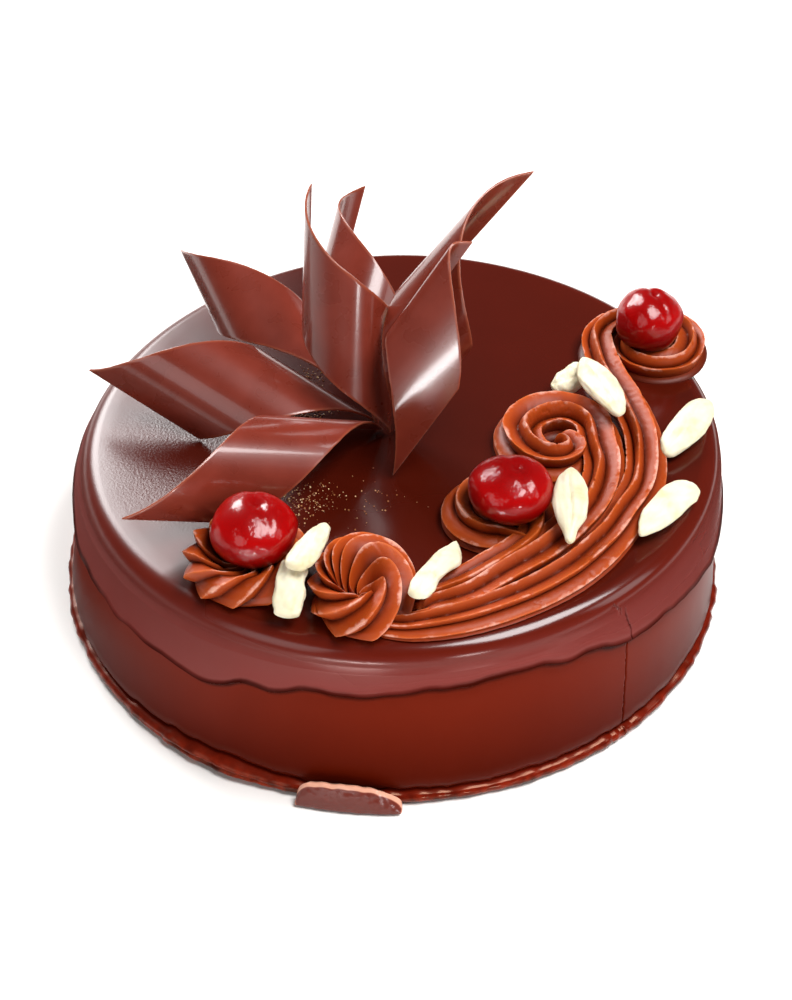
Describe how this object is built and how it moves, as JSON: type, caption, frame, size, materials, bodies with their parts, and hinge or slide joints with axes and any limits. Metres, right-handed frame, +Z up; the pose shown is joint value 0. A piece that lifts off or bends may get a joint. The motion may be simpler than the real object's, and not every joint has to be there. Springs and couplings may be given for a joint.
{
  "type": "chocolate torte",
  "caption": "Round glazed chocolate torte with a fan of curled chocolate petals, piped cream, glazed cherries and almonds, to serve as a whole cake.",
  "frame": {"origin": "centre of the cake's round foot, on the surface it stands on", "axes": "+Z up, -Y towards the side with the piped cream, +X to the right as seen from there"},
  "size_m": [0.2, 0.2001, 0.1284],
  "materials": {
    "dark_chocolate_glaze": "poured dark chocolate glaze, smooth and shiny",
    "milk_chocolate": "thin tempered chocolate with a satin shine",
    "chocolate_buttercream": "soft piped chocolate buttercream",
    "glazed_cherry": "red cherry in clear syrup",
    "blanched_almond": "pale skinned almond, dull"
  },
  "bodies": {
    "root": {"cake": "dark_chocolate_glaze", "petal_left": "milk_chocolate", "petal_upper_left": "milk_chocolate", "petal_middle": "milk_chocolate", "petal_lower_left": "milk_chocolate", "petal_back": "milk_chocolate", "petal_right": "milk_chocolate", "petal_front": "milk_chocolate", "garland_outer": "chocolate_buttercream", "garland_swirl": "chocolate_buttercream", "garland_inner": "chocolate_buttercream", "rosette_front": "chocolate_buttercream", "rosette_left": "chocolate_buttercream", "cherry_left": "glazed_cherry", "cherry_middle": "glazed_cherry", "cherry_right": "glazed_cherry", "almond_front_low": "blanched_almond", "almond_front_high": "blanched_almond", "almond_front_right": "blanched_almond", "almond_middle": "blanched_almond", "almond_back_left": "blanched_almond", "almond_back_right": "blanched_almond", "almond_right_back": "blanched_almond", "almond_right_front": "blanched_almond"}
  },
  "joints": []
}
